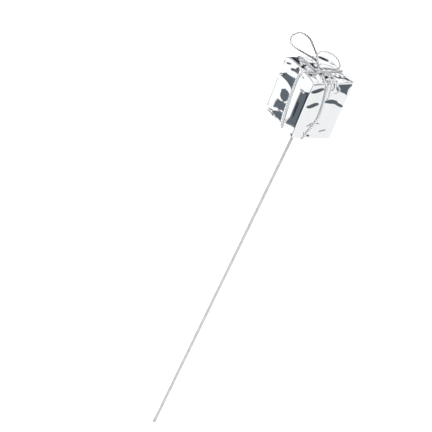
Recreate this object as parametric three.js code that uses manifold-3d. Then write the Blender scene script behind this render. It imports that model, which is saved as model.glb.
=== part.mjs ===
// A gift-parcel pick: a small foam block wrapped in silver metallised film, tied
// crosswise with twisted metallic cord and a bow, on a thin white plastic-coated wire.
//
// Units are millimetres and +Z is up. The origin is the centre of the stem's cut foot,
// the stem rises along +Z, the parcel's front is -Y and its right side is +X.

import * as THREE from "three";
import { mergeVertices } from "three/addons/utils/BufferGeometryUtils.js";
import Module from "manifold-3d";

// Stem: a steel wire in a plastic sleeve, cut flush at the foot.
const STEM_SHOWING = 155;
const STEM_IN_FOAM = 17;
const WIRE_RADIUS = 0.4;
const SLEEVE_RADIUS = 0.6;
const SLEEVE_GAP = 0.02;
const STEM_SIDES = 16;

// Parcel: outer size over the film, and how far its middle is from the stem.
const PARCEL_WIDTH = 19;
const PARCEL_DEPTH = 20.5;
const PARCEL_HEIGHT = 24;
const PARCEL_X = -0.9;
const PARCEL_Y = -0.8;
const FILM_THICKNESS = 0.3;
const FIT_GAP = 0.1;

// Folds of the wrap: the lap down the back, and the turned-in ends that taper towards
// the middle and stop short of it.
const FOLD_THICKNESS = 0.15;
const LAP_WIDTH = 7;
const END_FOLD_STOP = 3;
const END_FOLD_TAPER = 7;

// Tape: over the lap, from near its middle out past its edge, and over the ends below.
const TAPE_THICKNESS = 0.06;
const TAPE_GAP = 0.05;
const SEAM_TAPE_START = 1.5;
const SEAM_TAPE_PAST_LAP = 3;
const SEAM_TAPE_BELOW = 7;
const SEAM_TAPE_ABOVE = 5;
const END_TAPE_HALF = 6;
const END_TAPE_FROM = 2.8;
const END_TAPE_TO = 7.8;

// Glue around the stem, in the foam and under the film.
const GLUE_RADIUS = 1.2;
const GLUE_DEPTH = 8;
const GLUE_BEAD_RADIUS = 1.45;
const GLUE_BEAD_HEIGHT = 1.5;
const GLUE_LIP = 0.25;
const GLUE_LIP_HEIGHT = 0.15;
const GLUE_SHOULDER = 0.8;

// Cord: the tie and the bow.
const CORD_RADIUS = 0.36;
const CORD_SIDES = 8;
const CORD_LIFT = 0.58;
const CORD_BEND = 0.8;
const CROSSING_GAP = 0.12;
const BAND_STEPS = 120;
const LOOP_STEPS = 60;
const TAIL_STEPS = 24;
const KNOT_RADIUS = 0.86;
const KNOT_STRAND = 0.34;
const KNOT_CENTRE = [0.7, -3.8, 180.4];
const KNOT_STEPS = 64;

const BOTTOM = STEM_SHOWING;
const TOP = BOTTOM + PARCEL_HEIGHT;
const LEFT = PARCEL_X - PARCEL_WIDTH / 2;
const RIGHT = PARCEL_X + PARCEL_WIDTH / 2;
const FRONT = PARCEL_Y - PARCEL_DEPTH / 2;
const BACK = PARCEL_Y + PARCEL_DEPTH / 2;
const MIDDLE = BOTTOM + PARCEL_HEIGHT / 2;

const paint = (color, roughness, metalness) =>
  new THREE.MeshStandardMaterial({ color, roughness, metalness });
const FOIL = paint(0xd9dcdf, 0.12, 1);
const CORD = paint(0xc9ccd0, 0.3, 1);
const STEEL = paint(0x8c8f92, 0.4, 1);
const SLEEVE = paint(0xe9e9e6, 0.45, 0);
const FOAM = paint(0xf4f4f1, 0.9, 0);
const GLUE = paint(0xe6e2d3, 0.4, 0);
const TAPE = paint(0xe8ecee, 0.2, 0);

const wasm = await Module();
wasm.setup();

const object = new THREE.Group();

function add(name, geometry, material) {
  const mesh = new THREE.Mesh(geometry, material);
  mesh.name = name;
  object.add(mesh);
  return mesh;
}

// A closed three.js geometry as a solid for joining and cutting.
function solid(geometry) {
  const bare = geometry.clone();
  bare.deleteAttribute("normal");
  bare.deleteAttribute("uv");
  const merged = mergeVertices(bare, 1e-4);
  return new wasm.Manifold(
    new wasm.Mesh({
      numProp: 3,
      vertProperties: new Float32Array(merged.attributes.position.array),
      triVerts: new Uint32Array(merged.index.array),
    }),
  );
}

function geometryOf(body) {
  const mesh = body.getMesh();
  const geometry = new THREE.BufferGeometry();
  geometry.setAttribute("position", new THREE.BufferAttribute(mesh.vertProperties, 3));
  geometry.setIndex(new THREE.BufferAttribute(mesh.triVerts, 1));
  geometry.computeVertexNormals();
  return geometry;
}

// A block between two opposite corners.
function block(low, high) {
  const size = high.map((value, axis) => value - low[axis]);
  const centre = high.map((value, axis) => (value + low[axis]) / 2);
  return new THREE.BoxGeometry(...size).translate(...centre);
}

// A round bar along Z between two heights.
function bar(radius, low, high) {
  const length = high - low;
  const geometry = new THREE.CylinderGeometry(radius, radius, length, STEM_SIDES);
  return geometry.rotateX(Math.PI / 2).translate(0, 0, low + length / 2);
}

// A closed ring turned about Z from a profile of [radius, height] points.
function turned(profile) {
  const points = profile.map(([radius, height]) => new THREE.Vector2(radius, height));
  points.push(points[0].clone());
  return new THREE.LatheGeometry(points, STEM_SIDES).rotateX(Math.PI / 2);
}

// A flat plate: an outline of [x, y] points raised by a thickness from a height.
function plate(outline, low, thickness) {
  const shape = new THREE.Shape(outline.map(([x, y]) => new THREE.Vector2(x, y)));
  const options = { depth: thickness, bevelEnabled: false };
  return new THREE.ExtrudeGeometry(shape, options).translate(0, 0, low);
}

function cordSection() {
  const section = new THREE.Shape();
  for (let side = 0; side < CORD_SIDES; side += 1) {
    const angle = (2 * Math.PI * side) / CORD_SIDES;
    const x = CORD_RADIUS * Math.cos(angle);
    const y = CORD_RADIUS * Math.sin(angle);
    if (side === 0) section.moveTo(x, y);
    else section.lineTo(x, y);
  }
  section.closePath();
  return section;
}

function cordAlong(path, steps) {
  return new THREE.ExtrudeGeometry(cordSection(), { steps, extrudePath: path });
}

// A smooth cord through points chosen by hand.
function smoothCord(points, steps) {
  const through = points.map((point) => new THREE.Vector3(...point));
  return cordAlong(new THREE.CatmullRomCurve3(through, false, "centripetal"), steps);
}

// A cord pulled tight: straight stretches with a small bend at each point between them.
function tightCord(points, steps) {
  const corners = points.map((point) => new THREE.Vector3(...point));
  const path = new THREE.CurvePath();
  let from = corners[0];
  for (let index = 1; index < corners.length - 1; index += 1) {
    const corner = corners[index];
    const before = corners[index - 1].clone().sub(corner);
    const after = corners[index + 1].clone().sub(corner);
    const enter = corner.clone().add(before.setLength(Math.min(CORD_BEND, before.length() / 2)));
    const leave = corner.clone().add(after.setLength(Math.min(CORD_BEND, after.length() / 2)));
    path.add(new THREE.LineCurve3(from, enter));
    path.add(new THREE.QuadraticBezierCurve3(enter, corner, leave));
    from = leave;
  }
  path.add(new THREE.LineCurve3(from, corners[corners.length - 1]));
  return cordAlong(path, steps);
}

// ---- Stem ----
function stem() {
  const top = BOTTOM + STEM_IN_FOAM;
  add("stem_wire_core", bar(WIRE_RADIUS, 0, top), STEEL);
  const inner = WIRE_RADIUS + SLEEVE_GAP;
  const profile = [
    [inner, 0],
    [SLEEVE_RADIUS, 0],
    [SLEEVE_RADIUS, top],
    [inner, top],
  ];
  add("stem_sleeve", turned(profile), SLEEVE);
}

// ---- Glue: a ring in the foam's mouth with a bead under the film ----
function stemGlue() {
  const inner = SLEEVE_RADIUS + FIT_GAP / 2;
  const under = BOTTOM - FIT_GAP;
  const low = under - GLUE_BEAD_HEIGHT;
  const profile = [
    [inner, low],
    [inner + GLUE_LIP, low + GLUE_LIP_HEIGHT],
    [GLUE_RADIUS, low + GLUE_SHOULDER],
    [GLUE_BEAD_RADIUS, under],
    [GLUE_RADIUS, under],
    [GLUE_RADIUS, BOTTOM + GLUE_DEPTH],
    [inner, BOTTOM + GLUE_DEPTH],
  ];
  add("stem_glue", turned(profile), GLUE);
}

// ---- Foam block with a stepped blind hole for the stem and the glue ----
function foamCore() {
  const inset = FILM_THICKNESS + FIT_GAP;
  const body = solid(
    block(
      [LEFT + inset, FRONT + inset, BOTTOM + inset],
      [RIGHT - inset, BACK - inset, TOP - inset],
    ),
  );
  const stemHole = solid(bar(SLEEVE_RADIUS + FIT_GAP, BOTTOM - 1, BOTTOM + STEM_IN_FOAM + FIT_GAP));
  const glueHole = solid(bar(GLUE_RADIUS + FIT_GAP, BOTTOM - 1, BOTTOM + GLUE_DEPTH + FIT_GAP));
  add("foam_core", geometryOf(body.subtract(stemHole).subtract(glueHole)), FOAM);
}

// ---- Film wrap: one sheet around the foam, lapped down the back, ends turned in ----
function foilWrap() {
  const film = FILM_THICKNESS;
  const outside = solid(block([LEFT, FRONT, BOTTOM], [RIGHT, BACK, TOP]));
  const inside = solid(
    block([LEFT + film, FRONT + film, BOTTOM + film], [RIGHT - film, BACK - film, TOP - film]),
  );
  const hole = solid(bar(GLUE_RADIUS + FIT_GAP, BOTTOM - 1, BOTTOM + 1));
  const lap = solid(
    block(
      [PARCEL_X - LAP_WIDTH / 2, BACK - film / 2, BOTTOM],
      [PARCEL_X + LAP_WIDTH / 2, BACK + FOLD_THICKNESS, TOP],
    ),
  );
  let wrap = outside.add(lap);
  for (const [height, thickness] of [[TOP, FOLD_THICKNESS], [BOTTOM, -FOLD_THICKNESS]]) {
    for (const side of [-1, 1]) {
      wrap = wrap.add(solid(endFold(side, height, thickness)));
    }
  }
  add("foil_wrap", geometryOf(wrap.subtract(inside).subtract(hole)), FOIL);
}

// One turned-in end: a trapezoid flap from the left or right edge towards the middle.
function endFold(side, height, thickness) {
  const edge = PARCEL_X + (side * PARCEL_WIDTH) / 2;
  const reach = PARCEL_X + side * END_FOLD_STOP;
  const half = PARCEL_DEPTH / 2;
  const outline = [
    [edge, PARCEL_Y - half],
    [reach, PARCEL_Y - half + END_FOLD_TAPER],
    [reach, PARCEL_Y + half - END_FOLD_TAPER],
    [edge, PARCEL_Y + half],
  ];
  if (side > 0) outline.reverse();
  const overlap = FILM_THICKNESS / 2;
  const low = thickness > 0 ? height - overlap : height + thickness;
  return plate(outline, low, Math.abs(thickness) + overlap);
}

// ---- Clear tape over the lap and over the ends turned in below ----
function tapes() {
  const behind = BACK + FOLD_THICKNESS + TAPE_GAP;
  const seam = block(
    [PARCEL_X - SEAM_TAPE_START, behind, MIDDLE - SEAM_TAPE_BELOW],
    [
      PARCEL_X + LAP_WIDTH / 2 + SEAM_TAPE_PAST_LAP,
      behind + TAPE_THICKNESS,
      MIDDLE + SEAM_TAPE_ABOVE,
    ],
  );
  add("seam_tape", seam, TAPE);
  const below = BOTTOM - FOLD_THICKNESS - TAPE_GAP;
  const bottom = block(
    [PARCEL_X - END_TAPE_HALF, PARCEL_Y + END_TAPE_FROM, below - TAPE_THICKNESS],
    [PARCEL_X + END_TAPE_HALF, PARCEL_Y + END_TAPE_TO, below],
  );
  add("bottom_tape", bottom, TAPE);
}

// ---- Cord tied over the front, underside and back, and over the two sides ----
function bands() {
  const top = TOP + CORD_LIFT + FOLD_THICKNESS;
  const low = BOTTOM - CORD_LIFT - FOLD_THICKNESS;
  const under = low - 2 * CORD_RADIUS - CROSSING_GAP;
  const front = FRONT - CORD_LIFT;
  const back = BACK + CORD_LIFT + FOLD_THICKNESS;
  const right = RIGHT + CORD_LIFT;
  const left = LEFT - CORD_LIFT;
  const frontBand = [
    [0.7, -6.0, top],
    [0.2, front, top],
    [-0.9, front, 176.3],
    [-0.6, front, 172.5],
    [0.0, front, 168],
    [1.3, front, 161],
    [2.3, front, low],
    [2.5, -4.5, low],
    [2.2, 3.2, low],
    [1.4, back, low],
    [0.9, back, 168],
    [0.6, back, top],
    [0.7, -1.6, top],
  ];
  add("cord_band_front", tightCord(frontBand, BAND_STEPS), CORD);
  const sideBand = [
    [2.9, -3.9, top],
    [right, -5.1, top],
    [right, -4.3, 177.6],
    [right, -2.8, 172],
    [right, -1.8, 163.5],
    [right, -3.5, 159],
    [right, -5.0, low],
    [4.6, -4.9, low],
    [3.6, -4.8, under],
    [1.3, -4.6, under],
    [0.3, -4.5, low],
    [left, -4.3, low],
    [left, -3.9, 167],
    [left, -4.1, top],
    [-1.5, -3.8, top],
  ];
  add("cord_band_side", tightCord(sideBand, BAND_STEPS), CORD);
}

// ---- Bow: a knot, two loops that stand on it and two tails over the right edge ----
function bow() {
  const knot = new THREE.TorusKnotGeometry(KNOT_RADIUS, KNOT_STRAND, KNOT_STEPS, CORD_SIDES, 2, 3);
  add("bow_knot", knot.translate(...KNOT_CENTRE), CORD);

  const largeLoop = [
    [-0.2, -4.6, 181.7],
    [-1.3, -5.1, 183.9],
    [-2.6, -5.7, 185.9],
    [-4.4, -6.8, 187.8],
    [-6.3, -7.8, 189.6],
    [-8.3, -9.0, 190.3],
    [-10.3, -10.1, 190.1],
    [-11.8, -11.0, 188.5],
    [-12.4, -11.4, 186.8],
    [-12.2, -11.2, 185.2],
    [-11.0, -10.6, 184.0],
    [-9.2, -9.5, 183.6],
    [-7.4, -8.5, 183.6],
    [-5.3, -7.3, 183.6],
    [-3.4, -5.8, 183.5],
    [-2.0, -4.4, 183.0],
    [-1.2, -3.6, 181.8],
  ];
  add("bow_loop_large", smoothCord(largeLoop, LOOP_STEPS), CORD);

  const smallLoop = [
    [1.0, -5.0, 181.7],
    [0.3, -5.9, 183.6],
    [-0.5, -6.7, 185.4],
    [-0.9, -6.8, 187.0],
    [-0.5, -6.0, 188.1],
    [0.3, -4.7, 188.7],
    [1.2, -3.0, 188.7],
    [2.2, -1.3, 188.2],
    [3.2, 0.3, 187.2],
    [3.9, 1.5, 185.8],
    [4.1, 2.1, 184.3],
    [3.7, 1.9, 183.1],
    [3.2, 0.9, 182.5],
    [2.7, -0.4, 182.4],
    [2.3, -1.6, 182.4],
    [1.8, -2.7, 182.3],
    [1.3, -3.5, 181.8],
  ];
  add("bow_loop_small", smoothCord(smallLoop, LOOP_STEPS), CORD);

  const longTail = [
    [2.8, -2.8, 180.8],
    [4.4, -2.7, 181.1],
    [6.3, -3.0, 181.0],
    [8.1, -3.4, 180.6],
    [9.3, -3.6, 179.7],
    [9.7, -3.4, 178.4],
    [9.6, -3.1, 177.0],
    [9.5, -2.7, 175.4],
    [9.45, -2.35, 174.0],
    [9.4, -2.05, 172.7],
  ];
  add("bow_tail_long", smoothCord(longTail, TAIL_STEPS), CORD);

  const curledTail = [
    [1.7, -1.5, 180.8],
    [3.6, -1.4, 181.3],
    [5.8, -1.5, 181.5],
    [7.9, -1.6, 181.0],
    [9.3, -1.2, 180.1],
    [9.9, -0.2, 179.2],
    [10.0, 0.8, 178.1],
    [9.8, 1.2, 177.0],
    [9.5, 0.8, 176.1],
    [9.4, -0.1, 175.7],
  ];
  add("bow_tail_curled", smoothCord(curledTail, TAIL_STEPS), CORD);
}

stem();
stemGlue();
foamCore();
foilWrap();
tapes();
bands();
bow();

export default object;
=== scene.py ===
"""Looks of the silver gift-parcel pick: a film-wrapped parcel on a stem, tied with twisted cord."""

import math
import random

import bpy
import numpy as np
from mathutils import Matrix, Vector
from mathutils.bvhtree import BVHTree


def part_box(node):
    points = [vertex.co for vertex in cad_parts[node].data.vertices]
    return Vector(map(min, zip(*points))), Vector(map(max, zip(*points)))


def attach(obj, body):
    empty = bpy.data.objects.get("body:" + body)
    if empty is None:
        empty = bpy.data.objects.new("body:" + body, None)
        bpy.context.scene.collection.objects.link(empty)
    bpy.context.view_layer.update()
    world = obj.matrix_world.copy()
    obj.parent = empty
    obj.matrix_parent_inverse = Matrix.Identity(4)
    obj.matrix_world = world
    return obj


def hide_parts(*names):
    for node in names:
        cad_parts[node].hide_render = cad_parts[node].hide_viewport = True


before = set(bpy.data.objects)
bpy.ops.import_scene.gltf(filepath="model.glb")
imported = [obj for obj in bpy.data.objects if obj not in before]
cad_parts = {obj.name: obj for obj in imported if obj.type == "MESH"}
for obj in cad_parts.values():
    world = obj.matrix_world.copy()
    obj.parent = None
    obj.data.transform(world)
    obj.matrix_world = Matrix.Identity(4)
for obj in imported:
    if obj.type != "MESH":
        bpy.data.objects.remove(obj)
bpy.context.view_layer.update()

MM = 0.001
BODY = "root"


def corners_mm(node):
    """Lowest and highest corner of a CAD node, in millimetres."""
    low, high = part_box(node)
    return np.array(low) / MM, np.array(high) / MM


# ---------------------------------------------------------------- camera

CAMERA_AZIMUTH = math.radians(41.5)
CAMERA_ELEVATION = math.radians(29.4)
CAMERA_ROLL = math.radians(-25.4)
CAMERA_DISTANCE = 0.83
CAMERA_LENS = 173.8
AIM = Vector((-0.01144, -0.00755, 0.10141))


def make_camera():
    """The camera looks down at the parcel's front and right faces, rolled so that the stem leans."""
    flat = math.cos(CAMERA_ELEVATION)
    back = Vector(
        (math.sin(CAMERA_AZIMUTH) * flat, -math.cos(CAMERA_AZIMUTH) * flat, math.sin(CAMERA_ELEVATION))
    )
    level = Vector((math.cos(CAMERA_AZIMUTH), math.sin(CAMERA_AZIMUTH), 0))
    upright = back.cross(level)
    right = math.cos(CAMERA_ROLL) * level - math.sin(CAMERA_ROLL) * upright
    up = math.sin(CAMERA_ROLL) * level + math.cos(CAMERA_ROLL) * upright
    turn = Matrix((right, up, back)).transposed()
    data = bpy.data.cameras.new("camera")
    data.lens = CAMERA_LENS
    data.clip_start = 0.05
    data.clip_end = 50
    camera = bpy.data.objects.new("camera", data)
    camera.matrix_world = Matrix.Translation(AIM + back * CAMERA_DISTANCE) @ turn.to_4x4()
    bpy.context.scene.collection.objects.link(camera)
    bpy.context.scene.camera = camera


make_camera()


# ---------------------------------------------------------------- mesh helpers

def make_piece(name, points_mm, faces, material, replaces=()):
    """A smooth-shaded mesh piece from points in millimetres, riding on the part."""
    mesh = bpy.data.meshes.new(name)
    mesh.from_pydata((np.asarray(points_mm) * MM).tolist(), [], faces)
    mesh.update()
    mesh.polygons.foreach_set("use_smooth", [True] * len(mesh.polygons))
    mesh.materials.append(material)
    piece = bpy.data.objects.new(name, mesh)
    bpy.context.scene.collection.objects.link(piece)
    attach(piece, BODY)
    if replaces:
        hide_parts(*replaces)
    return piece


def catmull_rom(points, per_span=24):
    """A centripetal Catmull-Rom curve through the points, as closely spaced points."""
    points = [np.array(point, float) for point in points]
    padded = [2 * points[0] - points[1], *points, 2 * points[-1] - points[-2]]
    line = []
    for a, b, c, d in zip(padded, padded[1:], padded[2:], padded[3:]):
        t0 = 0.0
        t1 = t0 + np.linalg.norm(b - a) ** 0.5
        t2 = t1 + np.linalg.norm(c - b) ** 0.5
        t3 = t2 + np.linalg.norm(d - c) ** 0.5
        for t in np.linspace(t1, t2, per_span, endpoint=False):
            ab = ((t1 - t) * a + (t - t0) * b) / (t1 - t0)
            bc = ((t2 - t) * b + (t - t1) * c) / (t2 - t1)
            cd = ((t3 - t) * c + (t - t2) * d) / (t3 - t2)
            abc = ((t2 - t) * ab + (t - t0) * bc) / (t2 - t0)
            bcd = ((t3 - t) * bc + (t - t1) * cd) / (t3 - t1)
            line.append(((t2 - t) * abc + (t - t1) * bcd) / (t2 - t1))
    line.append(points[-1])
    return np.array(line)


def even_steps(line, step):
    """The same line with points evenly spaced along it."""
    run = np.concatenate([[0], np.cumsum(np.linalg.norm(np.diff(line, axis=0), axis=1))])
    keep = np.concatenate([[True], np.diff(run) > 1e-9])
    run, line = run[keep], line[keep]
    count = max(2, round(run[-1] / step) + 1)
    at = np.linspace(0, run[-1], count)
    return np.stack([np.interp(at, run, line[:, axis]) for axis in range(3)], axis=1)


def carried_frames(line):
    """Two directions square to the line at each point, carried along it without twisting."""
    along = np.gradient(line, axis=0)
    along /= np.linalg.norm(along, axis=1)[:, None]
    start = np.cross(along[0], (0.0, 0.0, 1.0))
    if np.linalg.norm(start) < 0.1:
        start = np.cross(along[0], (1.0, 0.0, 0.0))
    side = start / np.linalg.norm(start)
    sides = []
    for direction in along:
        side = side - direction * (side @ direction)
        side = side / np.linalg.norm(side)
        sides.append(side)
    sides = np.array(sides)
    return sides, np.cross(along, sides)


# ---------------------------------------------------------------- cord

CORD_STEP = 0.12
CORD_SIDES = 30
CORD_PLIES = 3
CORD_PITCH = 3.9
PLY_RADIUS = 0.19
PLY_OFFSET = 0.21
GROOVE_DEPTH = 0.2
END_ROUNDING = 0.2
END_LEAST = 0.08
# How strong the painted shade in the grooves is along a cord, on the loops also standing in for the dark
# room's reflection: share of the way, then strength.
ALL_DARK = ([0.0, 1.0], [0.95, 0.95])
LARGE_LOOP_DARK = ([0.0, 0.32, 0.40, 0.68, 0.76, 1.0], [9.0, 9.0, 1.3, 1.3, 8.0, 8.0])
SMALL_LOOP_DARK = ([0.0, 0.12, 0.22, 0.70, 0.80, 1.0], [1.6, 1.6, 1.2, 1.2, 4.0, 2.0])


def ply_outline(angle):
    """Radius of the three plies' outline at an angle round the cord."""
    third = 2 * math.pi / CORD_PLIES
    off = (angle + third / 2) % third - third / 2
    return PLY_OFFSET * np.cos(off) + np.sqrt(PLY_RADIUS**2 - (PLY_OFFSET * np.sin(off)) ** 2)


def twisted_cord(name, line, material, replaces=(), painted_shade_along=ALL_DARK):
    """A cord of twisted plies along a line, with rounded ends and a UV map along and round it."""
    line = even_steps(line, CORD_STEP)
    side, other = carried_frames(line)
    rings, sides = len(line), CORD_SIDES
    angle = np.linspace(0, 2 * math.pi, sides, endpoint=False)[None, :]
    twist = (np.arange(rings) * CORD_STEP * 2 * math.pi / CORD_PITCH)[:, None]
    outline = ply_outline(angle - twist)
    run = np.arange(rings) * CORD_STEP
    from_end = np.minimum(run, run[::-1])
    radius = outline * np.sqrt(np.clip(from_end / END_ROUNDING, END_LEAST, 1))[:, None]
    points = (
        line[:, None, :]
        + (radius * np.cos(angle))[:, :, None] * side[:, None, :]
        + (radius * np.sin(angle))[:, :, None] * other[:, None, :]
    ).reshape(-1, 3)
    faces = []
    for ring in range(rings - 1):
        for s in range(sides):
            n = (s + 1) % sides
            a, b = ring * sides, (ring + 1) * sides
            faces.append((a + s, a + n, b + n, b + s))
    faces.append(tuple(reversed(range(sides))))
    last = (rings - 1) * sides
    faces.append(tuple(last + s for s in range(sides)))
    piece = make_piece(name, points, faces, material, replaces)
    # Painted shade for the grooves between the plies goes into the groove attribute, scaled along the
    # cord by the given strengths.
    groove = piece.data.attributes.new("groove", "FLOAT", "POINT")
    depth = np.clip((PLY_OFFSET + PLY_RADIUS - outline) / GROOVE_DEPTH, 0, 1)
    painted_shade_share = np.interp(run / run[-1], *painted_shade_along)[:, None]
    groove.data.foreach_set("value", (painted_shade_share * depth).ravel())
    uv = piece.data.uv_layers.new(name="cord")
    values = []
    for ring in range(rings - 1):
        for s in range(sides):
            low, high = run[ring], run[ring + 1]
            values += [s / sides, low, (s + 1) / sides, low, (s + 1) / sides, high, s / sides, high]
    values += [0.0, 0.0] * (2 * sides)
    uv.data.foreach_set("uv", values)
    return piece, line


# ---------------------------------------------------------------- node helpers

def new_material(name):
    """An empty node material with its output and a principled shader."""
    material = bpy.data.materials.new(name)
    material.use_nodes = True
    return material, material.node_tree, material.node_tree.nodes["Principled BSDF"]


def add_node(tree, kind, **settings):
    """A node with some of its properties and input defaults set."""
    node = tree.nodes.new(kind)
    for key, value in settings.items():
        if hasattr(node, key):
            setattr(node, key, value)
        else:
            node.inputs[key.replace("_", " ")].default_value = value
    return node


def noise(tree, scale, detail=3.0, vector=None):
    """Noise in object coordinates, or on another vector."""
    node = add_node(tree, "ShaderNodeTexNoise", Scale=scale, Detail=detail)
    if vector is None:
        vector = tree.nodes.new("ShaderNodeTexCoord").outputs["Object"]
    tree.links.new(vector, node.inputs["Vector"])
    return node.outputs["Fac"]


def ramp(tree, source, stops, smooth=False):
    """A colour ramp from (position, colour) stops; a colour is one grey or three channels."""
    node = tree.nodes.new("ShaderNodeValToRGB")
    node.color_ramp.interpolation = "EASE" if smooth else "LINEAR"
    elements = node.color_ramp.elements
    while len(elements) < len(stops):
        elements.new(0.5)
    for element, (position, colour) in zip(elements, stops):
        element.position = position
        channels = (colour,) * 3 if isinstance(colour, float) else colour
        element.color = (*channels, 1)
    tree.links.new(source, node.inputs["Fac"])
    return node.outputs["Color"]


def maths(tree, operation, *sources):
    """A maths node on sockets and plain numbers."""
    node = tree.nodes.new("ShaderNodeMath")
    node.operation = operation
    for socket, source in zip(node.inputs, sources):
        if isinstance(source, (int, float)):
            socket.default_value = source
        else:
            tree.links.new(source, socket)
    return node.outputs[0]


def mixed(tree, share, first, second, blend="MIX"):
    """Two colours mixed by a share, a socket or a number; a colour is a socket or three channels."""
    node = add_node(tree, "ShaderNodeMix", data_type="RGBA", blend_type=blend)
    colours = [socket for socket in node.inputs if socket.type == "RGBA"]
    for socket, value in zip([node.inputs["Factor"], *colours], (share, first, second)):
        if isinstance(value, float):
            socket.default_value = value
        elif isinstance(value, tuple):
            socket.default_value = (*value, 1)
        else:
            tree.links.new(value, socket)
    return next(socket for socket in node.outputs if socket.type == "RGBA")


def multiplied(tree, first, second):
    """Two colours multiplied."""
    return mixed(tree, 1.0, first, second, "MULTIPLY")


def bump(tree, shader, height, distance, strength=1.0):
    """A bump on the shader, its distance in metres."""
    node = add_node(tree, "ShaderNodeBump", Distance=distance, Strength=strength)
    tree.links.new(height, node.inputs["Height"])
    tree.links.new(node.outputs["Normal"], shader.inputs["Normal"])


# ---------------------------------------------------------------- materials

def film_material():
    """Metallised gift film: a clean mirror with faint haze and fine ripples."""
    material, tree, shader = new_material("silver film")
    shader.inputs["Metallic"].default_value = 1.0
    tint = ramp(tree, noise(tree, 180.0), [(0.3, (0.90, 0.92, 0.935)), (0.7, (0.945, 0.95, 0.955))])
    tree.links.new(tint, shader.inputs["Base Color"])
    haze = ramp(tree, noise(tree, 420.0), [(0.35, 0.045), (0.7, 0.11)])
    tree.links.new(haze, shader.inputs["Roughness"])
    bump(tree, shader, noise(tree, 900.0, 2.0), 0.000004)
    return material


def cord_material():
    """Metallic cord: bright strands with fine fibres, and painted shade that turns the grooves between
    them dark.
    """
    material, tree, shader = new_material("silver cord")
    shader.inputs["Metallic"].default_value = 0.6
    fleck = ramp(tree, noise(tree, 1500.0), [(0.3, (0.86, 0.88, 0.90)), (0.6, (0.98, 0.98, 0.99))])
    groove = add_node(tree, "ShaderNodeAttribute", attribute_name="groove").outputs["Fac"]
    # Painted shade: the base colour goes almost black where the groove attribute is high.
    shade = ramp(tree, groove, [(0.34, (1.0, 1.0, 1.0)), (0.46, (0.015, 0.02, 0.03))])
    tree.links.new(multiplied(tree, fleck, shade), shader.inputs["Base Color"])
    shine = ramp(tree, noise(tree, 2500.0), [(0.3, 0.14), (0.7, 0.28)])
    tree.links.new(shine, shader.inputs["Roughness"])
    bump(tree, shader, noise(tree, 5200.0, 2.0), 0.00004)
    return material


def sleeve_material():
    """White coated stem, its colour held grey as painted shade: satin, with faint rings and specks."""
    material, tree, shader = new_material("white sleeve")
    # Painted shade: the white coating's base colour is held at a grey of 0.30 to 0.37.
    tint = ramp(tree, noise(tree, 700.0), [(0.3, 0.30), (0.7, 0.37)])
    tree.links.new(tint, shader.inputs["Base Color"])
    shine = ramp(tree, noise(tree, 1200.0), [(0.3, 0.38), (0.7, 0.55)])
    tree.links.new(shine, shader.inputs["Roughness"])
    bump(tree, shader, noise(tree, 2400.0), 0.00002)
    return material


def wire_material():
    """Bright drawn steel wire with marks of the die along it."""
    material, tree, shader = new_material("steel wire")
    shader.inputs["Metallic"].default_value = 1.0
    tint = ramp(tree, noise(tree, 2600.0), [(0.3, (0.36, 0.36, 0.37)), (0.7, (0.56, 0.56, 0.57))])
    tree.links.new(tint, shader.inputs["Base Color"])
    shader.inputs["Roughness"].default_value = 0.32
    bump(tree, shader, noise(tree, 5000.0), 0.00002)
    return material


def glue_material():
    """Hot glue: milky, glossy and a little cloudy."""
    material, tree, shader = new_material("hot glue")
    tint = ramp(tree, noise(tree, 900.0), [(0.3, (0.74, 0.73, 0.70)), (0.7, (0.86, 0.85, 0.82))])
    tree.links.new(tint, shader.inputs["Base Color"])
    shader.inputs["Roughness"].default_value = 0.24
    shader.inputs["Subsurface Weight"].default_value = 0.3
    shader.inputs["Subsurface Scale"].default_value = 0.001
    bump(tree, shader, noise(tree, 1400.0), 0.00005)
    return material


def foam_material():
    """White expanded foam: beads pressed together."""
    material, tree, shader = new_material("white foam")
    cells = add_node(tree, "ShaderNodeTexVoronoi", Scale=700.0)
    tree.links.new(tree.nodes.new("ShaderNodeTexCoord").outputs["Object"], cells.inputs["Vector"])
    tint = ramp(tree, cells.outputs["Distance"], [(0.0, 0.84), (1.0, 0.72)])
    tree.links.new(tint, shader.inputs["Base Color"])
    shader.inputs["Roughness"].default_value = 0.75
    bump(tree, shader, cells.outputs["Distance"], 0.0002, 0.6)
    return material


def tape_material():
    """Clear tape: glossy, faintly yellow and hazy."""
    material, tree, shader = new_material("clear tape")
    tint = ramp(tree, noise(tree, 500.0), [(0.3, (0.93, 0.93, 0.90)), (0.7, (0.98, 0.98, 0.96))])
    tree.links.new(tint, shader.inputs["Base Color"])
    shine = ramp(tree, noise(tree, 900.0), [(0.3, 0.08), (0.7, 0.2)])
    tree.links.new(shine, shader.inputs["Roughness"])
    shader.inputs["IOR"].default_value = 1.47
    shader.inputs["Transmission Weight"].default_value = 0.9
    bump(tree, shader, noise(tree, 1500.0), 0.00001)
    return material


FILM = film_material()
CORD = cord_material()
SLEEVE = sleeve_material()
WIRE = wire_material()
GLUE = glue_material()
FOAM = foam_material()
TAPE = tape_material()


# ---------------------------------------------------------------- parcel shape

CELL = 0.2
PARCEL_LOW = corners_mm("foil_wrap")[0]
SIZE = np.array([19.0, 20.5, 24.0])
COUNTS = np.round(SIZE / CELL).astype(int)

# The eight corners of the crooked parcel, by left/right, front/back and bottom/top.
CORNERS = np.array([
    [[(-9.2, -11.0, 156.0), (-11.3, -11.0, 178.2)], [(-9.8, 9.6, 155.2), (-10.6, 8.9, 179.6)]],
    [[(9.2, -11.1, 155.2), (7.6, -11.0, 178.9)], [(8.6, 10.2, 153.8), (8.6, 8.5, 180.5)]],
])

# Each side: which axis is fixed, whether at its high end, and the outward direction.
SIDES = {
    "front": (1, 0, (0, -1, 0)),
    "back": (1, 1, (0, 1, 0)),
    "left": (0, 0, (-1, 0, 0)),
    "right": (0, 1, (1, 0, 0)),
    "bottom": (2, 0, (0, 0, -1)),
    "top": (2, 1, (0, 0, 1)),
}

AS_NUMBERED = ("front", "right", "top")


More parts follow.
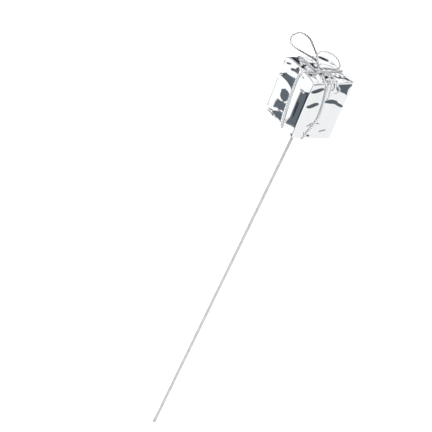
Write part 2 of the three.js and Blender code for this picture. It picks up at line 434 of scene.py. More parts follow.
def side_cells(grid, name):
    """The square cells between the points of one side, facing outward."""
    cells = np.stack([grid[:-1, :-1], grid[1:, :-1], grid[1:, 1:], grid[:-1, 1:]], axis=-1)
    cells = cells.reshape(-1, 4)
    return cells if name in AS_NUMBERED else cells[:, ::-1]


class Lattice:
    """The surface of a skewed box as one closed net of square cells."""

    def __init__(self, corners, counts):
        self.counts = counts
        shape = tuple(count + 1 for count in counts)
        grids = np.meshgrid(*[np.arange(n) for n in shape], indexing="ij")
        skin = np.zeros(shape, bool)
        for grid, count in zip(grids, counts):
            skin |= (grid == 0) | (grid == count)
        self.number = np.full(shape, -1)
        self.number[skin] = np.arange(skin.sum())
        self.at = np.stack([grid[skin] / count for grid, count in zip(grids, counts)], axis=1)
        self.points = np.zeros((len(self.at), 3))
        for i in (0, 1):
            for j in (0, 1):
                for k in (0, 1):
                    share = np.ones(len(self.at))
                    for axis, high in enumerate((i, j, k)):
                        share *= self.at[:, axis] if high else 1 - self.at[:, axis]
                    self.points += share[:, None] * corners[i, j, k]

    def side(self, name):
        """Point numbers of one side, as a grid."""
        axis, high, _ = SIDES[name]
        return np.take(self.number, -1 if high else 0, axis=axis)

    def quads(self, name):
        """Cells of one side, facing outward."""
        return side_cells(self.side(name), name)

    def all_quads(self):
        """Cells of the whole closed surface."""
        return np.concatenate([self.quads(name) for name in SIDES])


def inside(polygon, u, v):
    """Which of the points (u, v) lie in the polygon."""
    hit = np.zeros(np.shape(u), bool)
    for (u0, v0), (u1, v1) in zip(polygon, polygon[1:] + polygon[:1]):
        spans = (v0 > v) != (v1 > v)
        rise = v1 - v0 if v1 != v0 else 1e-9
        hit ^= spans & (u < (u1 - u0) * (v - v0) / rise + u0)
    return hit


def settle(slope_u, slope_v, weight_u, weight_v, rounds=1600):
    """The height, zero all round, whose slopes come nearest to the wanted ones."""
    shape = (slope_v.shape[0], slope_u.shape[1])

    def down(part_u, part_v):
        out = np.zeros(shape)
        out[:-1] -= part_u
        out[1:] += part_u
        out[:, :-1] -= part_v
        out[:, 1:] += part_v
        out[0], out[-1], out[:, 0], out[:, -1] = 0, 0, 0, 0
        return out

    height = np.zeros(shape)
    left = down(weight_u * slope_u * CELL, weight_v * slope_v * CELL)
    search = left.copy()
    size = np.sum(left * left)
    for _ in range(rounds):
        if size < 1e-14:
            break
        spread = down(weight_u * np.diff(search, axis=0), weight_v * np.diff(search, axis=1))
        step = size / np.sum(search * spread)
        height += step * search
        left -= step * spread
        fresh = np.sum(left * left)
        search = left + fresh / size * search
        size = fresh
    return height


def softened(height):
    """The height with each point eased toward its neighbours, so that creases have a little radius."""
    for _ in range(SOFT_ROUNDS):
        eased_height = height.copy()
        eased_height[1:-1, 1:-1] = (
            height[1:-1, 1:-1] / 2
            + (height[:-2, 1:-1] + height[2:, 1:-1] + height[1:-1, :-2] + height[1:-1, 2:]) / 8
        )
        height = eased_height
    return height


FOLD_LONG = 1.6
FOLD_WIDE = 0.6
FOLD_LEAST = 0.4


def folds(u, v, seed, count, reach, slope):
    """Crisp little pyramids added together, as crumpled film has."""
    pick = random.Random(seed)
    total = np.zeros(u.shape)
    for _ in range(count):
        mid_u = pick.uniform(u.min(), u.max())
        mid_v = pick.uniform(v.min(), v.max())
        turn = pick.uniform(0, math.pi)
        long = pick.uniform(*reach) * FOLD_LONG
        wide = pick.uniform(*reach) * FOLD_WIDE
        lean = pick.uniform(FOLD_LEAST, 1.0)
        height = wide * slope * pick.uniform(FOLD_LEAST, 1.0) * pick.choice((-1, 1))
        along = (u - mid_u) * math.cos(turn) + (v - mid_v) * math.sin(turn)
        across = -(u - mid_u) * math.sin(turn) + (v - mid_v) * math.cos(turn)
        uneven = np.where(across > 0, across / wide, -across / (wide * lean))
        total += height * np.clip(1 - uneven - np.abs(along) / long, 0, None)
    return total


LENS_STEPS = 8


def lens(middle_u, middle_v, length, width, turn):
    """Outline of a patch with two round sides that meet in points, turned by some degrees."""
    along = math.radians(turn)
    outline = []
    for step in range(2 * LENS_STEPS):
        angle = math.pi * step / LENS_STEPS
        reach = length / 2 * math.cos(angle)
        rise = width / 2 * math.sin(angle)
        u = middle_u + reach * math.cos(along) - rise * math.sin(along)
        v = middle_v + reach * math.sin(along) + rise * math.cos(along)
        outline.append((u, v))
    return outline


# Patches of film that turn away from their side: outline in (u, v) mm, then slope along u and v.
FRONT_PATCHES = [
    (lens(3, 22, 2.5, 0.5, 30), (0.0, -0.17)),
    ([(5, 20.5), (9.5, 23.5), (9.5, 21.5), (7.5, 21)], (-0.05, -0.20)),
    ([(1.5, 16.5), (4, 18.5), (9.5, 19.5), (9.5, 15.5), (6, 16.5)], (-0.08, -0.20)),
    (lens(7.5, 11.5, 5.5, 4.5, 35), (-0.12, -0.07)),
    ([(4, 4), (4, 6), (5, 8), (10, 9), (10, 6)], (-0.13, -0.03)),
    ([(3, 1.5), (10, 5), (10.5, 1.5), (7, 1)], (-0.13, 0.0)),
    ([(0.5, 0), (0.5, 0.5), (2.5, 1.5), (4.5, 1.5), (5.5, 0)], (0.0, 0.40)),
    ([(14.5, 18), (14.5, 7), (13, 3), (16, 4), (19, 4.5), (19, 19.5), (16.5, 18)], (-0.15, 0.01)),
    ([(15, 14.5), (16.5, 14.5), (16.5, 6.5), (15.5, 5.5)], (-0.27, 0.0)),
    ([(18, 18.5), (19, 18.5), (19, 5), (18, 5)], (-0.30, 0.0)),
    ([(17.5, 0), (18, 1), (19, 1.5), (19, 0)], (-0.30, 0.0)),
    (lens(12.5, 22, 1, 0.5, 20), (-0.04, -0.12)),
    ([(0, 1.5), (0, 15.5), (1, 14.5), (1, 2.5)], (0.55, 0.0)),
    ([(0, 15.5), (0, 23), (0.5, 22), (0.5, 15)], (0.60, 0.0)),
]
RIGHT_PATCHES = [
    (lens(3.5, 21, 6, 2, 15), (0.0, -0.17)),
    (lens(4, 14.5, 5.5, 2, 20), (0.0, -0.17)),
    (lens(13, 16, 7, 2, -5), (0.0, -0.18)),
    (lens(17.5, 14.5, 7, 1.5, -20), (0.0, -0.18)),
    ([(12, 23.5), (19.5, 23.5), (18, 19), (13.5, 20.5)], (0.03, -0.17)),
    ([(19.5, 23.5), (20.5, 23), (20.5, 17), (18, 19)], (0.0, -0.27)),
    (lens(6.5, 6, 3, 0.5, 40), (0.1, -0.22)),
    (lens(10.5, 6.5, 2, 0.5, -20), (0.0, -0.20)),
    (lens(7, 1.5, 4, 1, -20), (0.0, -0.22)),
    (lens(14.5, 3.5, 3.5, 0.5, 20), (0.0, -0.26)),
]
# The whole slope of the film on top: turned to the dark room, to the blue far wall, and to the lights.
TO_DARK = (0.11, -0.10)
TO_BLUE = (0.20, -0.23)
TO_LIGHT = (-0.16, 0.15)
TOP_PATCHES = [
    (lens(2.5, 17.5, 4, 2.5, -60), TO_DARK),
    (lens(6.5, 19, 1.5, 1, 0), TO_DARK),
    (lens(10, 4.5, 6, 3, -30), TO_BLUE),
    ([(1.5, 0.5), (0.5, 4), (6.5, 2), (8, 0.5)], TO_DARK),
    ([(13, 1), (12, 5), (18, 2), (16, 1)], TO_DARK),
    (lens(15, 5, 8, 2.5, -25), TO_LIGHT),
    ([(7, 2), (7, 4), (10.5, 1.5), (10, 0.5)], TO_DARK),
    ([(1, 9), (2.5, 9), (5.5, 7), (5, 6.5)], TO_DARK),
    (lens(15.5, 12, 3.5, 1.5, -50), TO_DARK),
    (lens(16.5, 18.5, 5, 1, 40), TO_DARK),
    (lens(11.5, 19.5, 2, 1, 0), TO_DARK),
    ([(3, 5.5), (3, 8), (6, 5), (6, 2.5)], TO_BLUE),
    (lens(8.5, 11.5, 2.5, 1.5, -60), TO_DARK),
    (lens(18, 6, 2, 1.5, -20), TO_DARK),
    (lens(13.5, 16, 2, 1, -60), TO_BLUE),
    (lens(18, 9, 2, 1.5, 0), TO_BLUE),
]
PATCHES = {"front": FRONT_PATCHES, "right": RIGHT_PATCHES, "top": TOP_PATCHES}

# Seed, number, reach in mm and steepness of the small folds on each side.
CRUMPLES = {
    "front": [(11, 26, (2.0, 6.0), 0.012)],
    "right": [(12, 14, (2.0, 7.0), 0.006)],
    "top": [(13, 10, (3.0, 6.0), 0.12), (23, 34, (0.8, 2.2), 0.30)],
    "left": [(14, 60, (1.5, 6.0), 0.22)],
    "back": [(15, 60, (1.5, 6.0), 0.22)],
    "bottom": [(16, 60, (1.0, 4.0), 0.25)],
}
# How firmly the wanted slope holds in a patch, in the open film, and at the crease round a patch.
PATCH_HOLD = 1.0
OPEN_HOLD = {"front": 0.5, "right": 0.5, "top": 0.12}
CREASE_HOLD = 0.01
SOFT_ROUNDS = 2
# How much of the small folds is left inside a patch, and how far from a side's edge they fade, in mm.
PATCH_CALM = 0.12
EDGE_FADE = 0.8


def widened(mask):
    """The mask grown by one cell all round."""
    grown = mask.copy()
    grown[1:] |= mask[:-1]
    grown[:-1] |= mask[1:]
    grown[:, 1:] |= grown[:, :-1].copy()
    grown[:, :-1] |= grown[:, 1:].copy()
    return grown


def side_relief(name, ground):
    """Height of the film above its flat side at each lattice point; the ground is the side's own rise."""
    shape = ground.shape
    u = np.arange(shape[0])[:, None] * CELL + np.zeros(shape)
    v = np.arange(shape[1])[None, :] * CELL + np.zeros(shape)
    height = np.zeros(shape)
    if name in PATCHES:
        mid_u = [(grid[1:] + grid[:-1]) / 2 for grid in (u, v)]
        mid_v = [(grid[:, 1:] + grid[:, :-1]) / 2 for grid in (u, v)]
        slopes = [np.zeros(mid_u[0].shape), np.zeros(mid_v[0].shape)]
        holds = [np.full(mid_u[0].shape, OPEN_HOLD[name]), np.full(mid_v[0].shape, OPEN_HOLD[name])]
        rises = (np.diff(ground, axis=0) / CELL, np.diff(ground, axis=1) / CELL)
        for outline, lean in PATCHES[name]:
            for at, slope, hold, rise, wanted in zip((mid_u, mid_v), slopes, holds, rises, lean):
                hit = inside(outline, *at)
                hold[widened(hit) & (hold != PATCH_HOLD)] = CREASE_HOLD
                slope[hit] = (wanted - rise)[hit]
                hold[hit] = PATCH_HOLD
        height += softened(settle(slopes[0], slopes[1], holds[0], holds[1]))
    edge = np.minimum(np.minimum(u, u.max() - u), np.minimum(v, v.max() - v))
    fade = np.clip(edge / EDGE_FADE, 0, 1)
    for outline, _ in PATCHES.get(name, []):
        fade = np.where(inside(outline, u, v), fade * PATCH_CALM, fade)
    for seed, count, reach, slope in CRUMPLES[name]:
        height += folds(u, v, seed, count, reach, slope) * fade
    return height


def smooth_near_edges(lattice, quads, width, rounds):
    """Round the box's edges by easing the points near them toward their neighbours."""
    pairs = np.concatenate([quads[:, [a, (a + 1) % 4]] for a in range(4)])
    pairs = np.unique(np.sort(pairs, axis=1), axis=0)
    degree = np.bincount(pairs.ravel(), minlength=len(lattice.points))
    span = np.minimum(lattice.at, 1 - lattice.at) * SIZE
    second = np.sort(span, axis=1)[:, 1]
    ease = np.clip(1 - second / width, 0, 1)[:, None]
    for _ in range(rounds):
        total = np.zeros_like(lattice.points)
        np.add.at(total, pairs[:, 0], lattice.points[pairs[:, 1]])
        np.add.at(total, pairs[:, 1], lattice.points[pairs[:, 0]])
        lattice.points += ease * 0.5 * (total / degree[:, None] - lattice.points)


# Lift of the front top edge, where the film stands up at the fold: distance along, then lift, in mm.
TOP_FRONT_LIFT = (
    [0.0, 1.5, 4.0, 8.5, 10.6, 11.4, 12.6, 15.0, 18.0, 19.0],
    [0.0, 1.3, 1.8, 1.9, 1.0, 0.7, 1.5, 1.2, 0.7, 0.0],
)
# How the lift dies away from that edge: distance in mm, then share.
LIFT_FADE = ([0.0, 1.2, 4.0, 7.0, 10.0], [1.0, 0.75, 0.42, 0.16, 0.0])


def front_edge_lift(lattice):
    """How far the film is raised at each point near the front top edge."""
    u = lattice.at[:, 0] * SIZE[0]
    drop = (1 - lattice.at[:, 2]) * SIZE[2]
    back = lattice.at[:, 1] * SIZE[1]
    away = np.interp(np.hypot(drop, back), *LIFT_FADE)
    return np.interp(u, *TOP_FRONT_LIFT) * away


HOLE_REACH = 3.0


def stem_hole(points, quads, radius):
    """Open a round hole for the stem in the underside; returns the cells left and the rim in order."""
    away = np.hypot(points[:, 0], points[:, 1])
    under = points[:, 2] < PARCEL_LOW[2] + HOLE_REACH
    taken = (away < radius) & under
    cells = quads[~taken[quads].any(axis=1)]
    edges = {}
    for cell in cells:
        for a in range(4):
            edges[(cell[a], cell[(a + 1) % 4])] = True
    rim = {a: b for a, b in edges if (b, a) not in edges}
    start = next(iter(rim))
    loop = [start]
    while rim[loop[-1]] != start:
        loop.append(rim[loop[-1]])
    for number in loop:
        points[number, :2] *= radius / away[number]
    return cells, loop


FILM_INSIDE = 0.1
FILM_HOLE = 0.72
FILM_EDGE_WIDTH = 0.9
FILM_EDGE_ROUNDS = 5
# Round the stem the underside stays flat, then its creases grow over a short way.
FLAT_ROUND_STEM = 1.5
CREASES_GROW = 2.0


def make_film():
    """The wrapped film: creased outside, a thin step inward inside, open where the stem goes in."""
    lattice = Lattice(CORNERS, COUNTS)
    quads = lattice.all_quads()
    lift = front_edge_lift(lattice)
    for name, (_, _, outward) in SIDES.items():
        grid = lattice.side(name)
        ground = np.zeros(grid.shape)
        if name == "top":
            ground = lattice.points[grid][..., 2] + lift[grid]
        height = side_relief(name, ground)
        if name == "bottom":
            away = np.hypot(lattice.points[grid][..., 0], lattice.points[grid][..., 1])
            height *= np.clip((away - FLAT_ROUND_STEM) / CREASES_GROW, 0, 1)
        np.add.at(lattice.points, grid.ravel(), height.ravel()[:, None] * np.array(outward, float))
    lattice.points[:, 2] += lift
    smooth_near_edges(lattice, quads, FILM_EDGE_WIDTH, FILM_EDGE_ROUNDS)
    cells, loop = stem_hole(lattice.points, quads, FILM_HOLE)
    mesh = bpy.data.meshes.new("normals")
    mesh.from_pydata(lattice.points.tolist(), [], cells.tolist())
    normals = np.zeros(len(mesh.vertices) * 3)
    mesh.vertices.foreach_get("normal", normals)
    bpy.data.meshes.remove(mesh)
    inner = lattice.points - normals.reshape(-1, 3) * FILM_INSIDE
    count = len(lattice.points)
    faces = cells.tolist() + (cells[:, ::-1] + count).tolist()
    for a, b in zip(loop, loop[1:] + loop[:1]):
        faces.append((b, a, a + count, b + count))
    points = np.concatenate([lattice.points, inner])
    used = np.unique(np.concatenate([np.array(face) for face in faces]))
    renumber = np.full(len(points), -1)
    renumber[used] = np.arange(len(used))
    faces = [tuple(int(renumber[n]) for n in face) for face in faces]
    piece = make_piece("film", points[used], faces, FILM, ["foil_wrap"])
    return piece, lattice, cells


film, skin, skin_cells = make_film()
skin_tree = BVHTree.FromPolygons(skin.points.tolist(), skin_cells.tolist())


# ---------------------------------------------------------------- cord on the parcel

CORD_SINK = 0.33
LIE_STEP = 0.4
LIE_REACH = 2
FAR_OUT = 40.0
FAR_ABOVE = 240.0


def on_film(side, place):
    """Where the film is first met from outside a side, at two in-plane coordinates, or None."""
    axis, _, outward = SIDES[side]
    facing = np.array(outward, float)
    start = facing * (FAR_ABOVE if axis == 2 else FAR_OUT)
    start[[a for a in (0, 1, 2) if a != axis]] = place
    return skin_tree.ray_cast(Vector(start), Vector(-facing))[0]


def neighbours(values):
    """The values shifted by up to LIE_REACH places either way, the ends repeated."""
    padded = np.pad(values, LIE_REACH, mode="edge")
    return [padded[k:k + len(values)] for k in range(2 * LIE_REACH + 1)]


def lie_on(side, stops):
    """Cord centres lying on one side of the film, through stops in its two in-plane coordinates."""
    axis, _, outward = SIDES[side]
    facing = np.array(outward, float)
    flat = even_steps(catmull_rom([(*stop, 0.0) for stop in stops]), LIE_STEP)[:, :2]
    hits = [on_film(side, place) for place in flat]
    heights = np.array([float(np.array(hit) @ facing) if hit else np.nan for hit in hits])
    known = ~np.isnan(heights)
    heights = np.interp(np.arange(len(heights)), np.flatnonzero(known), heights[known])
    highest = np.max(neighbours(heights), axis=0)
    heights = np.mean(neighbours(0.5 * (highest + heights)), axis=0)
    line = np.zeros((len(flat), 3))
    line[:, [a for a in (0, 1, 2) if a != axis]] = flat
    return line + (heights + CORD_SINK)[:, None] * facing


def eased(line, rounds=6):
    """The line with its corners eased round."""
    line = even_steps(line, CORD_STEP)
    for _ in range(rounds):
        line[1:-1] = (line[:-2] + 2 * line[1:-1] + line[2:]) / 4
    return line


def band(name, parts, replaces):
    """A tight band of cord round the parcel, lying on one side after another."""
    line = eased(np.concatenate([lie_on(side, stops) for side, stops in parts]))
    piece, centres = twisted_cord(name, line, CORD, replaces)


FRONT_BAND = [
    ("top", [(0.7, -6.0), (0.2, -11.2)]),
    ("front", [(0.2, 179.6), (-0.9, 176.3), (-0.6, 172.5), (0.0, 168.0), (1.3, 161.0), (2.3, 155.9)]),
    ("bottom", [(2.3, -10.8), (2.5, -4.5), (2.2, 3.2), (1.4, 9.6)]),
    ("back", [(1.4, 155.2), (0.9, 168.0), (0.6, 179.6)]),
    ("top", [(0.6, 8.4), (0.7, -1.6)]),
]
SIDE_BAND = [
    ("top", [(2.9, -3.9), (7.6, -5.1)]),
    ("right", [(-5.1, 179.6), (-4.3, 177.6), (-2.8, 172.0), (-1.8, 163.5), (-3.5, 159.0), (-5.0, 155.4)]),
    ("bottom", [(8.6, -5.0), (4.6, -4.9), (-9.2, -4.3)]),
    ("left", [(-4.3, 156.4), (-3.9, 167.0), (-4.1, 178.4)]),
    ("top", [(-10.6, -4.1), (-1.5, -3.8)]),
]
band("cord_band_front", FRONT_BAND, ["cord_band_front"])
band("cord_band_side", SIDE_BAND, ["cord_band_side"])


# ---------------------------------------------------------------- bow

LARGE_LOOP = [
    (0.3, -4.0, 180.9), (-0.3, -4.6, 181.9), (-1.3, -5.1, 183.9), (-2.6, -5.7, 185.9),
    (-4.4, -6.8, 187.8), (-6.3, -7.8, 189.6), (-8.3, -9.0, 190.3), (-10.3, -10.1, 190.1),
    (-11.8, -11.0, 188.5), (-12.4, -11.4, 186.8), (-12.2, -11.2, 185.2), (-11.0, -10.6, 184.0),
    (-9.2, -9.5, 183.6), (-7.4, -8.5, 183.6), (-5.3, -7.3, 183.6), (-3.4, -5.8, 183.5),
    (-2.0, -4.4, 183.0), (-1.0, -3.8, 182.0), (-0.1, -3.6, 180.9),
]
SMALL_LOOP = [
    (0.9, -4.2, 180.9), (0.9, -5.0, 181.9), (0.3, -5.9, 183.6), (-0.5, -6.7, 185.4),
    (-0.9, -6.8, 187.0), (-0.5, -6.0, 188.1), (0.3, -4.7, 188.7), (1.2, -3.0, 188.7),
    (2.2, -1.3, 188.2), (3.2, 0.3, 187.2), (3.9, 1.5, 185.8), (4.1, 2.1, 184.3),
    (3.7, 1.9, 183.1), (3.2, 0.9, 182.5), (2.7, -0.4, 182.4), (2.3, -1.6, 182.4),
    (1.8, -2.7, 182.2), (1.3, -3.3, 181.7), (0.9, -3.7, 180.9),
]
LONG_TAIL = [
    (2.8, -2.8, 180.8), (4.4, -2.7, 181.1), (6.3, -3.0, 181.0), (8.1, -3.4, 180.6), (9.1, -3.4, 179.7),
    (9.2, -3.1, 178.4), (9.15, -2.7, 177.0), (9.15, -2.3, 175.4), (9.2, -2.0, 174.0), (9.2, -1.8, 172.7),
]
CURLED_TAIL = [
    (1.7, -1.5, 180.8), (3.6, -1.4, 181.3), (5.8, -1.5, 181.5), (7.9, -1.6, 181.0), (9.3, -1.2, 180.1),
    (9.9, -0.2, 179.2), (10.0, 0.8, 178.1), (9.8, 1.2, 177.0), (9.5, 0.8, 176.1), (9.4, -0.1, 175.7),
]
KNOT_CENTRE = np.array([0.7, -3.8, 180.7])
KNOT_RADIUS = 0.86
KNOT_STEPS = 240


def bow_loop(name, route, node, painted_shade_along):
    """One free loop of the bow, from the knot and back to it."""
    piece, centres = twisted_cord(name, eased(catmull_rom(route)), CORD, [node], painted_shade_along)


def knot_path():
    """The trefoil that the cord makes as it is tied."""
    turn = np.linspace(0, 4 * math.pi, KNOT_STEPS)
    ring = (2 + np.cos(1.5 * turn)) * 0.5
    return KNOT_CENTRE + KNOT_RADIUS * np.stack(
        [ring * np.cos(turn), ring * np.sin(turn), 0.5 * np.sin(1.5 * turn)], axis=1
    )


# The loops' painted shade varies along them and stands in for the dark room's reflection on the cord.
bow_loop("bow_loop_large", LARGE_LOOP, "bow_loop_large", LARGE_LOOP_DARK)
bow_loop("bow_loop_small", SMALL_LOOP, "bow_loop_small", SMALL_LOOP_DARK)
twisted_cord("bow_tail_long", eased(catmull_rom(LONG_TAIL)), CORD, ["bow_tail_long"])
twisted_cord("bow_tail_curled", eased(catmull_rom(CURLED_TAIL)), CORD, ["bow_tail_curled"])
twisted_cord("bow_knot", knot_path(), CORD, ["bow_knot"])


# ---------------------------------------------------------------- stem, glue and foam

ROUND_SIDES = 48
SLEEVE_GAP = 0.02
SLEEVE_EASE = 0.05
SLEEVE_RINGS = 90
SLEEVE_WAVE = 0.006
GLUE_GAP = 0.01
GLUE_NECK = 0.68
GLUE_CHAMFER = 0.1
FOAM_INSET = 1.0
FOAM_CELL = 0.5
FOAM_EDGE_WIDTH = 2.0
FOAM_EDGE_ROUNDS = 12
FOAM_HOLE = 0.95
FOAM_HOLE_ABOVE_GLUE = 9.2


def turned(name, profile, material, replaces=(), wobble=0.0, seed=0):
    """A closed profile of (radius, height) turned round the stem, with an optional gentle unevenness."""
    pick = random.Random(seed)
    phases = [pick.uniform(0, 2 * math.pi) for _ in range(4)]
    points = []
    for radius, height in profile:
        for s in range(ROUND_SIDES):
            angle = 2 * math.pi * s / ROUND_SIDES
            uneven = sum(math.sin((n + 2) * angle + phase + 3 * height) for n, phase in enumerate(phases))
            out = radius * (1 + wobble * uneven)
            points.append((out * math.cos(angle), out * math.sin(angle), height))
    faces = []
    rings = len(profile)
    for ring in range(rings):
        after = (ring + 1) % rings
        for s in range(ROUND_SIDES):
            n = (s + 1) % ROUND_SIDES
            a, b = ring * ROUND_SIDES, after * ROUND_SIDES
            faces.append((a + s, a + n, b + n, b + s))
    return make_piece(name, points, faces, material, replaces)


def make_sleeve():
    """The stem's white sleeve: a long tube with its cut ends just eased."""
    low, high = corners_mm("stem_sleeve")
    outer = (high[0] - low[0]) / 2
    inner = corners_mm("stem_wire_core")[1][0] + SLEEVE_GAP
    ease = SLEEVE_EASE
    heights = np.linspace(low[2] + ease, high[2] - ease, SLEEVE_RINGS)
    profile = [(inner, low[2]), (outer - ease, low[2])]
    profile += [(outer + SLEEVE_WAVE * math.sin(1.7 * z) * math.sin(0.31 * z), z) for z in heights]
    profile += [(outer - ease, high[2]), (inner, high[2])]
    turned("stem_sleeve", profile, SLEEVE, ["stem_sleeve"])
    return outer


def make_glue(outer):
    """The glue round the stem: a lumpy bead under the parcel and a plug up inside it."""
    low, high = corners_mm("stem_glue")
    inner = outer + GLUE_GAP
    wide = (high[0] - low[0]) / 2
    bead = [
        (inner, 0.0), (inner + 0.12, 0.02), (inner + 0.3, 0.2), (wide * 0.82, 0.6),
        (wide * 0.97, 0.95), (wide, 1.2), (wide * 0.9, 1.45), (GLUE_NECK, 1.6),
    ]
    profile = [(radius, low[2] + rise) for radius, rise in bead]
    profile += [(GLUE_NECK, high[2] - GLUE_CHAMFER), (inner, high[2])]
    turned("stem_glue", profile, GLUE, ["stem_glue"], wobble=0.035, seed=5)


def make_foam():
    """The foam block inside the film, its corners worn round, with the stem's hole."""
    middle = CORNERS.reshape(8, 3).mean(axis=0)
    corners = CORNERS - np.sign(CORNERS - middle) * FOAM_INSET
    lattice = Lattice(corners, np.round(SIZE / FOAM_CELL).astype(int))
    quads = lattice.all_quads()
    smooth_near_edges(lattice, quads, FOAM_EDGE_WIDTH, FOAM_EDGE_ROUNDS)
    cells, loop = stem_hole(lattice.points, quads, FOAM_HOLE)
    top = corners_mm("stem_glue")[1][2] + FOAM_HOLE_ABOVE_GLUE
    points = lattice.points.tolist()
    ring = []
    for number in loop:
        x, y, _ = points[number]
        ring.append(len(points))
        points.append((x, y, top))
    faces = cells.tolist()
    for (a, b), (c, d) in zip(zip(loop, loop[1:] + loop[:1]), zip(ring, ring[1:] + ring[:1])):
        faces.append((b, a, c, d))
    faces.append(tuple(reversed(ring)))
    make_piece("foam_core", points, faces, FOAM, ["foam_core"])


sleeve_radius = make_sleeve()
make_glue(sleeve_radius)
make_foam()
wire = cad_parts["stem_wire_core"]
wire.data.materials.clear()
wire.data.materials.append(WIRE)


# ---------------------------------------------------------------- tape

TAPE_LIFT = 0.05
TAPE_THICK = 0.06
TAPE_CELL = 0.3


def make_tape(name, side, node):
    """A strip of clear tape that follows the film's creases."""
    axis, _, outward = SIDES[side]
    plane = [a for a in (0, 1, 2) if a != axis]
    low, high = corners_mm(node)
    facing = np.array(outward, float)
    counts = [max(2, int((high[a] - low[a]) / TAPE_CELL)) for a in plane]
    points = []
    for a in np.linspace(low[plane[0]], high[plane[0]], counts[0] + 1):
        for b in np.linspace(low[plane[1]], high[plane[1]], counts[1] + 1):
            points.append(np.array(on_film(side, (a, b))) + facing * TAPE_LIFT)
    points = np.array(points)
    count = len(points)
    points = np.concatenate([points + facing * TAPE_THICK, points])
    grid = np.arange(count).reshape(counts[0] + 1, counts[1] + 1)
    cells = side_cells(grid, side)
    faces = cells.tolist() + (cells[:, ::-1] + count).tolist()
    edges = {(cell[a], cell[(a + 1) % 4]) for cell in cells.tolist() for a in range(4)}
    for a, b in sorted(edges):
        if (b, a) not in edges:
            faces.append((b, a, a + count, b + count))
    make_piece(name, points, faces, TAPE, [node])


make_tape("seam_tape", "back", "seam_tape")
make_tape("bottom_tape", "bottom", "bottom_tape")


# ---------------------------------------------------------------- stage, world and light

FLOOR_HALF = 4.0

# Colours of the room.
SLATE = (0.125, 0.145, 0.168)
DEEP = (0.022, 0.026, 0.034)
DIM = (0.20, 0.24, 0.27)
COOL = (0.60, 0.67, 0.72)
LIT = (1.08, 1.08, 1.08)
WALL_BLUE = (0.40, 0.50, 0.58)
CARD_BLUE = (0.33, 0.43, 0.52)
CARD_DIM = (0.20, 0.26, 0.32)
EAST_GREY = (0.87, 0.87, 0.87)
NO_CHANGE = (1.0, 1.0, 1.0)

# Parts of the room round the compass: middle azimuth, half width and soft edge, in degrees.
SOFTBOX_TURN = (-48, 62, 12)
AHEAD_TURN = (-126, 22, 4)
ASIDE_TURN = (45, 24, 4)
REAR_TURN = (134, 30, 4)
NEAR_CARD_TURN = (-103, 19, 2.5)
FAR_CARD_TURN = (140, 38, 6)
EAST_TURN = (48, 44, 8)
# Parts of the room by height: lowest and highest z of the direction, and the soft edge.
UPPER_RISE = (0.22, 0.72, 0.06)
SIDEWAYS_RISE = (-0.30, 0.20, 0.03)
REAR_RISE = (-0.38, 0.39, 0.03)
NEAR_CARD_RISE = (-0.76, -0.15, 0.04)
FAR_CARD_RISE = (-0.72, -0.38, 0.05)


def make_floor():
    """A pale plain floor under the stem's foot."""
    mesh = bpy.data.meshes.new("floor")
    corners = [(x * FLOOR_HALF, y * FLOOR_HALF, 0) for x, y in ((-1, -1), (1, -1), (1, 1), (-1, 1))]
    mesh.from_pydata(corners, [], [(0, 1, 2, 3)])
    floor = bpy.data.objects.new("floor", mesh)
    material, _, shader = new_material("floor")
    shader.inputs["Base Color"].default_value = (0.95, 0.95, 0.95, 1)
    shader.inputs["Roughness"].default_value = 0.9
    shader.inputs["Specular IOR Level"].default_value = 0.0
    mesh.materials.append(material)
    bpy.context.scene.collection.objects.link(floor)
    floor.visible_glossy = False


def soft_step(tree, source, start, end, before, after):
    """One value before a place, another after a later one, and a smooth step between."""
    node = add_node(
        tree, "ShaderNodeMapRange", interpolation_type="SMOOTHSTEP",
        From_Min=start, From_Max=end, To_Min=before, To_Max=after,
    )
    tree.links.new(source, node.inputs["Value"])
    return node.outputs[0]


def soft_window(tree, source, low, high, edge):
    """One inside low..high, zero outside, with soft edges."""
    rise = soft_step(tree, source, low - edge, low, 0.0, 1.0)
    fall = soft_step(tree, source, high, high + edge, 1.0, 0.0)
    return maths(tree, "MULTIPLY", rise, fall)


def by_height(tree, z, stops):
    """A colour ramp on the height of the direction, from (z, colour) stops."""
    share = maths(tree, "MULTIPLY_ADD", z, 0.5, 0.5)
    return ramp(tree, share, [((level + 1) / 2, colour) for level, colour in stops])


def around(tree, source, middle, half, edge):
    """A soft window on the azimuth, in degrees either side of a middle one."""
    return soft_window(
        tree, source, math.radians(middle - half), math.radians(middle + half), math.radians(edge)
    )


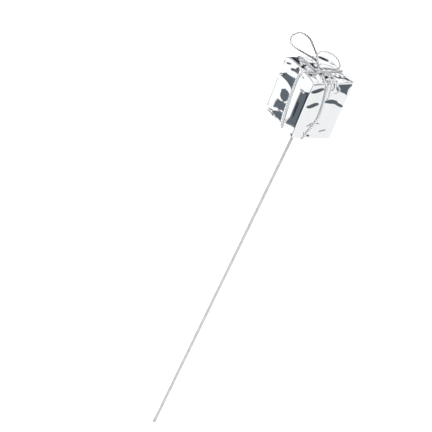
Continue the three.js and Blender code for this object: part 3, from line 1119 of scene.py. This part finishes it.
def make_world():
    """A white studio, its dark room seen over the table's edge and low on the near left side."""
    world = bpy.data.worlds.new("studio")
    world.use_nodes = True
    tree = world.node_tree
    background = tree.nodes["Background"]
    direction = tree.nodes.new("ShaderNodeTexCoord").outputs["Generated"]
    split = tree.nodes.new("ShaderNodeSeparateXYZ")
    tree.links.new(direction, split.inputs[0])
    x, y, z = split.outputs
    turn = maths(tree, "ARCTAN2", y, x)

    clutter_stops = [(0.34, DEEP), (0.38, DIM), (0.42, COOL), (0.46, LIT)]
    clutter = ramp(tree, noise(tree, 4.0, 1.0, direction), clutter_stops)
    base = by_height(tree, z, [(-0.80, SLATE), (-0.74, LIT)])
    above = mixed(tree, around(tree, turn, *SOFTBOX_TURN), clutter, LIT)
    room = mixed(tree, soft_window(tree, z, *UPPER_RISE), base, above)

    edge_band = by_height(tree, z, [(-0.14, SLATE), (-0.10, DEEP), (0.06, DEEP), (0.10, SLATE)])
    sideways = maths(tree, "MAXIMUM", around(tree, turn, *AHEAD_TURN), around(tree, turn, *ASIDE_TURN))
    share = maths(tree, "MULTIPLY", sideways, soft_window(tree, z, *SIDEWAYS_RISE))
    room = mixed(tree, share, room, edge_band)

    wall = by_height(tree, z, [(-0.06, WALL_BLUE), (0.0, DEEP)])
    share = maths(tree, "MULTIPLY", around(tree, turn, *REAR_TURN), soft_window(tree, z, *REAR_RISE))
    room = mixed(tree, share, room, wall)

    toward = maths(tree, "MULTIPLY_ADD", turn, 1 / math.pi, 1.0)
    streaks = maths(tree, "MULTIPLY_ADD", noise(tree, 16.0, 2.0, direction), 0.2, toward)
    near_card = ramp(tree, streaks, [(0.51, SLATE), (0.55, DEEP)])
    near = around(tree, turn, *NEAR_CARD_TURN)
    share = maths(tree, "MULTIPLY", near, soft_window(tree, z, *NEAR_CARD_RISE))
    room = mixed(tree, share, room, near_card)

    far_stops = [(0.40, CARD_BLUE), (0.47, CARD_DIM), (0.50, DEEP), (0.60, DEEP)]
    far_card = ramp(tree, noise(tree, 7.0, 1.0, direction), far_stops)
    far = around(tree, turn, *FAR_CARD_TURN)
    share = maths(tree, "MULTIPLY", far, soft_window(tree, z, *FAR_CARD_RISE))
    room = mixed(tree, share, room, far_card)

    east = mixed(tree, around(tree, turn, *EAST_TURN), NO_CHANGE, EAST_GREY)
    tree.links.new(multiplied(tree, room, east), background.inputs["Color"])
    background.inputs["Strength"].default_value = 1.0
    bpy.context.scene.world = world


def make_light():
    """A broad soft light from high on the right, for the stem, the glue and the floor."""
    data = bpy.data.lights.new("soft light", "SUN")
    data.energy = 2.9
    data.angle = math.radians(70)
    lamp = bpy.data.objects.new("soft light", data)
    lamp.rotation_euler = (math.radians(28), math.radians(38), 0)
    lamp.visible_glossy = False
    bpy.context.scene.collection.objects.link(lamp)


make_floor()
make_world()
make_light()
bpy.context.scene.view_settings.view_transform = "Standard"
